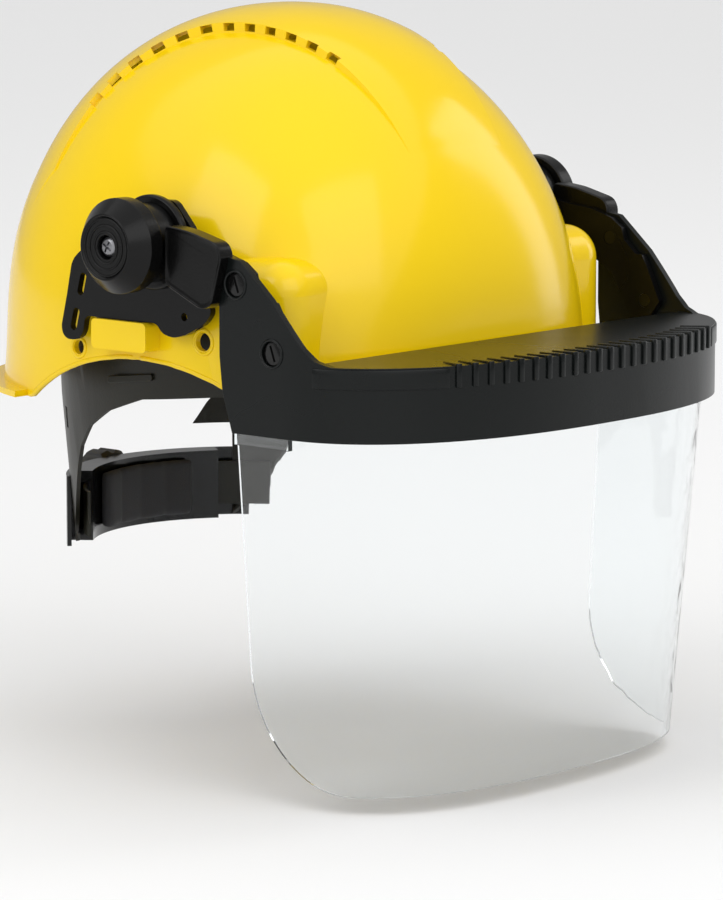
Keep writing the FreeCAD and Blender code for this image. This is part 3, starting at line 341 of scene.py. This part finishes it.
case_plastic = plastic("case_plastic", (0.002, 0.002, 0.002), (0.004, 0.004, 0.004),
                       gloss=(0.14, 0.22), grain_scale=700.0, relief=0.08, shine=0.32)
knob_plastic = plastic("knob_plastic", (0.018, 0.018, 0.019), (0.024, 0.024, 0.024),
                       gloss=(0.42, 0.55), grain_scale=1500.0, relief=0.5)
for node in ("ratchet_housing", "ratchet_back_plate", "ratchet_pinion"):
    finish(node, case_plastic)
finish("ratchet_knob", knob_plastic)

# ---------------------------------------------------------------- pivots and arms
# Black glass-filled nylon brackets clip into the slots of the shell. Each carries a
# round pivot with a cap and a screw, and the link arm that the shield's frame hangs on.

pivot_nylon = plastic("pivot_nylon", (0.0015, 0.0015, 0.0015), (0.003, 0.003, 0.003),
                      gloss=(0.20, 0.30), grain_scale=1100.0, relief=0.2, shine=0.2)
PIVOT_Y = -0.025
PIVOT_Z = 0.071
CAP_FACE = 0.1393
CAP_RINGS = (0.0062, 0.0088, 0.0113)
CAP_RING_ROUND = 0.00045
BLOCK_INNER = 0.1178
BLOCK_OUTER = 0.1258
BLOCK = ((-0.0435, 0.0800), (-0.0560, 0.0785), (-0.0715, 0.0745), (-0.0740, 0.0695),
         (-0.0685, 0.0500), (-0.0630, 0.0478), (-0.0435, 0.0565))
for turn in (-1.0, 1.0):
    side = "right" if turn < 0 else "left"
    finish(f"pivot_post_{side}", pivot_nylon)
    moulded_copy(f"pivot_base_{side}", "helmet", 0.0003, pivot_nylon)
    moulded_copy(f"bracket_{side}", "helmet", 0.0007, pivot_nylon, corner_round=0.0040)
    moulded_copy(f"pivot_cap_{side}", "helmet", 0.0004, pivot_nylon, corner_angle=18.0)
    moulded_copy(f"link_arm_{side}", "visor", 0.0006, pivot_nylon, corner_round=0.0030)
    block = plate(f"clip_block_face_{side}", BLOCK, turn * BLOCK_INNER, turn * BLOCK_OUTER,
                  0.0030, 0.0009, 0.0009, pivot_nylon, "visor")
    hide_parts(f"clip_block_{side}")
    # raised rings on the cap's face
    for number, radius in enumerate(CAP_RINGS):
        bpy.ops.object.select_all(action="DESELECT")
        bpy.ops.mesh.primitive_torus_add(
            major_radius=radius, minor_radius=CAP_RING_ROUND, major_segments=72, minor_segments=8,
            location=(turn * CAP_FACE, PIVOT_Y, PIVOT_Z), rotation=(0, math.radians(90), 0))
        ring = bpy.context.object
        ring.name = f"cap_ring_{number}_{side}"
        bpy.ops.object.transform_apply(location=True, rotation=True, scale=True)
        bpy.ops.object.shade_smooth()
        ring.data.materials.append(pivot_nylon)
        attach(ring, "helmet")

# ---------------------------------------------------------------- screws and washers
# Blackened steel. A pan-head screw with a cross recess closes each pivot's cap, and a wavy
# spring washer under it gives the friction. The coating is worn unevenly by turning.

CROSS = (0.0026, 0.0048, 0.0009)
CROSS_TILTS = (30.0, 120.0)
WORN = 1.5


def steel(name, colour, gloss):
    material = bpy.data.materials.new(name)
    material.use_nodes = True
    nodes, links = material.node_tree.nodes, material.node_tree.links
    shader = nodes["Principled BSDF"]
    shader.inputs["Metallic"].default_value = 1.0
    look = nodes.new("ShaderNodeGroup")
    look.node_tree = moulded_surface
    look.inputs["Colour"].default_value = (*colour, 1.0)
    look.inputs["Drift Colour"].default_value = (*[part * WORN for part in colour], 1.0)
    look.inputs["Gloss Low"].default_value = gloss[0]
    look.inputs["Gloss High"].default_value = gloss[1]
    look.inputs["Patch Scale"].default_value = 300.0
    look.inputs["Grain Scale"].default_value = 900.0
    links.new(look.outputs["Colour"], shader.inputs["Base Color"])
    links.new(look.outputs["Roughness"], shader.inputs["Roughness"])
    return material


screw_steel = steel("screw_steel", (0.20, 0.20, 0.21), (0.25, 0.4))
for turn in (-1.0, 1.0):
    side = "right" if turn < 0 else "left"
    finish(f"wave_washer_{side}", screw_steel)
    low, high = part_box(f"pivot_screw_{side}")
    head_top = (low if turn < 0 else high)[0]
    screw = moulded_copy(f"pivot_screw_{side}", "helmet", 0.0002, screw_steel)
    for tilt in CROSS_TILTS:
        bpy.ops.object.select_all(action="DESELECT")
        bpy.ops.mesh.primitive_cube_add(size=1.0, location=(head_top, PIVOT_Y, PIVOT_Z),
                                        rotation=(math.radians(tilt), 0, 0), scale=CROSS)
        blade = bpy.context.object
        bpy.ops.object.transform_apply(location=True, rotation=True, scale=True)
        bpy.ops.object.select_all(action="DESELECT")
        bpy.context.view_layer.objects.active = screw
        screw.select_set(True)
        slot_cut = screw.modifiers.new("cross", "BOOLEAN")
        slot_cut.operation = "DIFFERENCE"
        slot_cut.object = blade
        bpy.ops.object.modifier_apply(modifier=slot_cut.name)
        bpy.data.objects.remove(blade)

# ---------------------------------------------------------------- frame of the shield
# One moulding in charcoal polypropylene with a semi-gloss face: two arms that hang from
# the pivots and a deep band across the brow, with ribs for the fingers.

frame_plastic = plastic("frame_plastic", (0.0025, 0.0035, 0.0034), (0.004, 0.0052, 0.005),
                        gloss=(0.24, 0.34), grain_scale=1300.0, relief=0.18, shine=0.2)
moulded_copy("visor_frame", "visor", 0.0009, frame_plastic)

# each rivet sits in a round seat with a raised rim, and its head has one driver slot
RIVET_PLACES = ((-0.0770, 0.0585), (-0.0960, 0.0330))
RIVET_SEAT = 0.0050
RIM_CLEAR = 0.0004
RIM_ROUND = 0.0006
RIVET_SLOT = (0.0012, 0.0066, 0.0011)
RIVET_SLOT_TILT = 70
ARM_FACE = 0.1210
rivets = moulded_copy("frame_rivets", "visor", 0.0002, case_plastic)
for turn in (-1.0, 1.0):
    side = "right" if turn < 0 else "left"
    for number, (y, z) in enumerate(RIVET_PLACES):
        bpy.ops.object.select_all(action="DESELECT")
        bpy.ops.mesh.primitive_torus_add(
            major_radius=RIVET_SEAT + RIM_CLEAR, minor_radius=RIM_ROUND, major_segments=64, minor_segments=10,
            location=(turn * ARM_FACE, y, z), rotation=(0, math.radians(90), 0))
        rim = bpy.context.object
        rim.name = f"rivet_rim_{number}_{side}"
        bpy.ops.object.transform_apply(location=True, rotation=True, scale=True)
        bpy.ops.object.shade_smooth()
        rim.data.materials.append(frame_plastic)
        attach(rim, "visor")
        bpy.ops.object.select_all(action="DESELECT")
        bpy.ops.mesh.primitive_cube_add(size=1.0, location=(turn * (ARM_FACE - RIM_ROUND), y, z),
                                        rotation=(math.radians(RIVET_SLOT_TILT), 0, 0), scale=RIVET_SLOT)
        blade = bpy.context.object
        bpy.ops.object.transform_apply(location=True, rotation=True, scale=True)
        bpy.ops.object.select_all(action="DESELECT")
        bpy.context.view_layer.objects.active = rivets
        rivets.select_set(True)
        slot_cut = rivets.modifiers.new("slot", "BOOLEAN")
        slot_cut.operation = "DIFFERENCE"
        slot_cut.object = blade
        bpy.ops.object.modifier_apply(modifier=slot_cut.name)
        bpy.data.objects.remove(blade)

# the band's outer face in plan: straight sides, then a squarish bend
HALF_WIDTH = 0.121
BEND_START = -0.100
REACH = 0.068
SQUARENESS = 2.4
BAND_TOP = 0.0295


def band_point(angle):
    """Plan position on the band's outer face and the way it faces; angle 0 is straight ahead."""
    spread = abs(math.sin(angle)) ** (2 / SQUARENESS)
    ahead = abs(math.cos(angle)) ** (2 / SQUARENESS)
    x = math.copysign(HALF_WIDTH * spread, angle)
    y = BEND_START - REACH * ahead
    sideways = math.copysign(spread ** (SQUARENESS - 1) / HALF_WIDTH, angle)
    facing = Vector((sideways, -ahead ** (SQUARENESS - 1) / REACH, 0))
    return Vector((x, y, 0)), facing.normalized()


FINE_STEPS = 2000


def band_run(start_x, end_x, count):
    """Points evenly spaced along the band's outer face between two widths."""
    fine = [band_point(math.radians(-90 + 180 * step / FINE_STEPS)) for step in range(FINE_STEPS + 1)]
    run = [pair for pair in fine if start_x <= pair[0].x <= end_x]
    lengths = [0.0]
    for (a, _), (b, _) in zip(run, run[1:]):
        lengths.append(lengths[-1] + (b - a).length)
    chosen = []
    for number in range(count):
        want = lengths[-1] * number / (count - 1)
        nearest = min(range(len(run)), key=lambda place: abs(lengths[place] - want))
        chosen.append(run[nearest])
    return chosen


# finger ribs: short upright bars at the band's top edge that run on over the ledge
RIB_COUNT = 23
RIB_REACH = 0.080
RIB_HEIGHT = 0.0085
RIB_WIDTH = 0.0026
RIB_STAND = 0.0009
RIB_ON_LEDGE = 0.012
RIB_ROOT = 0.0015
STRIP_ROOT = 0.001
STRIP_NARROWING = 0.6
RIB_ROUND = 0.0005
RIB_CORNER = 30.0


def small_bar(place_corner):
    """A cube whose corners are set one by one, with its faces turned outwards."""
    bpy.ops.object.select_all(action="DESELECT")
    bpy.ops.mesh.primitive_cube_add(size=1.0, location=(0, 0, 0))
    bar = bpy.context.object
    for corner in bar.data.vertices:
        corner.co = place_corner(*corner.co)
    bpy.ops.object.mode_set(mode="EDIT")
    bpy.ops.mesh.select_all(action="SELECT")
    bpy.ops.mesh.normals_make_consistent(inside=False)
    bpy.ops.object.mode_set(mode="OBJECT")
    return bar


ribs = []
for point, facing in band_run(-RIB_REACH, RIB_REACH, RIB_COUNT):
    across = facing.cross(Vector((0, 0, 1)))

    def rib_corner(sideways, depth, height):
        out = RIB_STAND if depth > 0 else -RIB_ROOT
        level = BAND_TOP + RIB_STAND if height > 0 else BAND_TOP - RIB_HEIGHT
        return point + across * RIB_WIDTH * sideways + facing * out + Vector((0, 0, level))

    def strip_corner(sideways, depth, height):
        out = 0.0 if depth > 0 else -RIB_ON_LEDGE
        narrowing = 1.0 if depth > 0 else STRIP_NARROWING
        level = BAND_TOP + (RIB_STAND * narrowing if height > 0 else -STRIP_ROOT)
        return point + across * RIB_WIDTH * narrowing * sideways + facing * out + Vector((0, 0, level))

    ribs.append(small_bar(rib_corner))
    ribs.append(small_bar(strip_corner))
bpy.ops.object.select_all(action="DESELECT")
for rib in ribs:
    rib.select_set(True)
finger_ribs = ribs[0]
bpy.context.view_layer.objects.active = finger_ribs
bpy.ops.object.join()
finger_ribs.name = "finger_ribs"
soften(finger_ribs, RIB_ROUND, 2, RIB_CORNER)
finger_ribs.data.materials.clear()
finger_ribs.data.materials.append(frame_plastic)
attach(finger_ribs, "visor")

# a long raised panel on each side of the ribs
PANEL_TOP = BAND_TOP - 0.0006
PANEL_LOW = BAND_TOP - 0.0085
PANEL_STAND = 0.0006
PANEL_DEPTH = 0.0016
PANEL_STEPS = 24
PANEL_ENDS = (0.0835, 0.1195)
for turn in (-1.0, 1.0):
    side = "right" if turn < 0 else "left"
    run = band_run(*sorted(turn * end for end in PANEL_ENDS), PANEL_STEPS + 1)
    bpy.ops.object.select_all(action="DESELECT")
    bpy.ops.mesh.primitive_grid_add(x_subdivisions=PANEL_STEPS, y_subdivisions=3, size=1.0,
                                    location=(0, 0, 0))
    panel = bpy.context.object
    panel.name = f"frame_panel_{side}"
    for corner in panel.data.vertices:
        place, facing = run[round((corner.co.x + 0.5) * PANEL_STEPS)]
        share = corner.co.y + 0.5
        corner.co = place + facing * PANEL_STAND + Vector((0, 0, PANEL_LOW + (PANEL_TOP - PANEL_LOW) * share))
    solid = panel.modifiers.new("depth", "SOLIDIFY")
    solid.thickness = PANEL_DEPTH
    solid.offset = -1.0 if panel.data.polygons[0].normal.dot(run[0][1]) > 0 else 1.0
    bpy.ops.object.modifier_apply(modifier=solid.name)
    bpy.ops.object.mode_set(mode="EDIT")
    bpy.ops.mesh.select_all(action="SELECT")
    bpy.ops.mesh.normals_make_consistent(inside=False)
    bpy.ops.object.mode_set(mode="OBJECT")
    soften(panel, RIB_ROUND, 2, PLATE_CORNER)
    panel.data.materials.append(frame_plastic)
    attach(panel, "visor")

# ---------------------------------------------------------------- shield
# Clear polycarbonate sheet, 1.5 mm thick, bent round the frame, with two clear strips
# that hold its upper edge. It is almost colourless, with a cold tint at its edges.

SHEET_ROUGHNESS = 0.02
SHEET_IOR = 1.45


def clear_sheet(name, colour):
    material = bpy.data.materials.new(name)
    material.use_nodes = True
    shader = material.node_tree.nodes["Principled BSDF"]
    shader.inputs["Base Color"].default_value = (*colour, 1.0)
    shader.inputs["Roughness"].default_value = SHEET_ROUGHNESS
    shader.inputs["IOR"].default_value = SHEET_IOR
    shader.inputs["Transmission Weight"].default_value = 1.0
    return material


polycarbonate = clear_sheet("polycarbonate", (0.965, 0.985, 0.99))
for node in ("visor_shield", "shield_clip_right", "shield_clip_left"):
    finish(node, polycarbonate)

# ---------------------------------------------------------------- cradle straps
# Two woven polyester straps cross over the head, each 20 mm wide. Their ends run into
# the four clips that also hold the headband.

webbing = plastic("webbing", (0.05, 0.05, 0.052), (0.07, 0.07, 0.072),
                  gloss=(0.75, 0.9), grain_scale=1400.0, relief=1.0)
for node in ("cradle_strap_a", "cradle_strap_b"):
    finish(node, webbing)

# ---------------------------------------------------------------- soft pads
# The brow pad and the nape pad are strips of foam covered with thin knitted cloth, and
# quilted upright so that they bend round the head.

pad_cloth = plastic("pad_cloth", (0.022, 0.022, 0.024), (0.03, 0.03, 0.032),
                    gloss=(0.85, 0.95), grain_scale=1800.0, relief=1.0)
HEAD_MIDDLE = Vector((0, 0.02, 0))
PUFF_HEIGHT = 0.0014
SMOOTH_PASSES = 6


def foam_pad(node, cell, cushion):
    """A foam pad in a cloth cover: the plain solid puffed up between rows of quilting."""
    bpy.ops.object.select_all(action="DESELECT")
    pad = bpy.data.objects.new(node + "_foam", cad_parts[node].data.copy())
    bpy.context.collection.objects.link(pad)
    bpy.context.view_layer.objects.active = pad
    pad.select_set(True)
    bpy.ops.object.mode_set(mode="EDIT")
    bpy.ops.mesh.select_all(action="SELECT")
    bpy.ops.mesh.remove_doubles(threshold=MERGE_REACH)
    bpy.ops.object.mode_set(mode="OBJECT")
    remesh = pad.modifiers.new("cells", "REMESH")
    remesh.mode = "VOXEL"
    remesh.voxel_size = cell
    bpy.ops.object.modifier_apply(modifier=remesh.name)
    for _ in range(SMOOTH_PASSES):
        bpy.ops.object.mode_set(mode="EDIT")
        bpy.ops.mesh.select_all(action="SELECT")
        bpy.ops.mesh.vertices_smooth(factor=0.5)
        bpy.ops.object.mode_set(mode="OBJECT")
    inward = []
    for corner in pad.data.vertices:
        flat = corner.co - HEAD_MIDDLE
        around = math.atan2(flat.x, flat.y) * flat.xy.length
        puff = abs(math.sin(math.pi * around / cushion)) ** 0.5
        facing_in = max(0.0, -corner.normal.dot(Vector((flat.x, flat.y, 0)).normalized()))
        inward.append(corner.normal * (PUFF_HEIGHT * puff * facing_in))
    for corner, step in zip(pad.data.vertices, inward):
        corner.co += step
    bpy.ops.object.shade_smooth()
    pad.data.materials.clear()
    pad.data.materials.append(pad_cloth)
    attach(pad, "helmet")
    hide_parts(node)
    return pad


foam_pad("sweatband", 0.0014, 0.016)
foam_pad("nape_pad", 0.0012, 0.014)

# ---------------------------------------------------------------- room, light and camera
# A wide sheet of pale paper lies under the helmet. Soft lights stand to the left, in
# front and to the right, and a very wide diffuser overhead lights everything evenly.

FLOOR = -0.150
FLOOR_SIZE = 12.0
PAPER_WHITE = (0.86, 0.86, 0.86, 1.0)
bpy.ops.object.select_all(action="DESELECT")
bpy.ops.mesh.primitive_plane_add(size=1.0, location=(0, 0, FLOOR))
floor = bpy.context.object
floor.name = "floor"
floor.scale = (FLOOR_SIZE, FLOOR_SIZE, 1.0)
bpy.ops.object.transform_apply(location=True, rotation=True, scale=True)
paper = bpy.data.materials.new("paper")
paper.use_nodes = True
paper_nodes, paper_links = paper.node_tree.nodes, paper.node_tree.links
paper_nodes["Principled BSDF"].inputs["Base Color"].default_value = PAPER_WHITE
paper_nodes["Principled BSDF"].inputs["Roughness"].default_value = 0.7
# seen from below, the paper lets the helmet show through
clear = paper_nodes.new("ShaderNodeBsdfTransparent")
side_seen = paper_nodes.new("ShaderNodeNewGeometry")
pick = paper_nodes.new("ShaderNodeMixShader")
paper_links.new(side_seen.outputs["Backfacing"], pick.inputs["Fac"])
paper_links.new(paper_nodes["Principled BSDF"].outputs["BSDF"], pick.inputs[1])
paper_links.new(clear.outputs["BSDF"], pick.inputs[2])
paper_links.new(pick.outputs["Shader"], paper_nodes["Material Output"].inputs["Surface"])
floor.data.materials.append(paper)


def soft_light(name, place, aim, width, height, power):
    lamp = bpy.data.lights.new(name, "AREA")
    lamp.shape = "RECTANGLE"
    lamp.size = width
    lamp.size_y = height
    lamp.energy = power
    holder = bpy.data.objects.new(name, lamp)
    bpy.context.collection.objects.link(holder)
    holder.location = place
    holder.rotation_euler = (Vector(aim) - Vector(place)).to_track_quat("-Z", "Y").to_euler()


soft_light("key_light", (-2.2, 0.6, 1.6), (0, 0, 0.05), 1.6, 1.6, 15)
soft_light("front_light", (-1.0, -2.5, 1.9), (0, 0, 0.0), 2.8, 2.2, 26)
soft_light("right_light", (2.2, -0.9, 0.8), (0, 0, 0.0), 0.7, 1.8, 9)

DIFFUSER_WIDTH = 130.0
DIFFUSER_AIM = (0.45, 0.35, -1.0)
diffuser = bpy.data.lights.new("diffuser", "SUN")
diffuser.energy = 1.9
diffuser.angle = math.radians(DIFFUSER_WIDTH)
diffuser_holder = bpy.data.objects.new("diffuser", diffuser)
bpy.context.collection.objects.link(diffuser_holder)
diffuser_holder.rotation_euler = Vector(DIFFUSER_AIM).to_track_quat("-Z", "Y").to_euler()

world = bpy.data.worlds.new("studio")
world.use_nodes = True
world.node_tree.nodes["Background"].inputs["Color"].default_value = (1.0, 1.0, 1.0, 1.0)
world.node_tree.nodes["Background"].inputs["Strength"].default_value = 0.40
bpy.context.scene.world = world

AZIMUTH = math.radians(-49.0)
ELEVATION = math.radians(8.5)
DISTANCE = 2.0
RIGHT_SHIFT = 0.02794
UP_SHIFT = -0.02731
LENS = 190.4
level = math.cos(ELEVATION)
back = Vector((math.sin(AZIMUTH) * level, -math.cos(AZIMUTH) * level, math.sin(ELEVATION)))
right = Vector((math.cos(AZIMUTH), math.sin(AZIMUTH), 0.0))
up = back.cross(right)
camera_data = bpy.data.cameras.new("camera")
camera_data.sensor_fit = "VERTICAL"
camera_data.sensor_height = 36.0
camera_data.lens = LENS
camera = bpy.data.objects.new("camera", camera_data)
bpy.context.collection.objects.link(camera)
camera.location = back * DISTANCE + right * RIGHT_SHIFT + up * UP_SHIFT
camera.rotation_euler = Matrix((right, up, back)).transposed().to_euler()
bpy.context.scene.camera = camera
bpy.context.scene.view_settings.view_transform = "Standard"
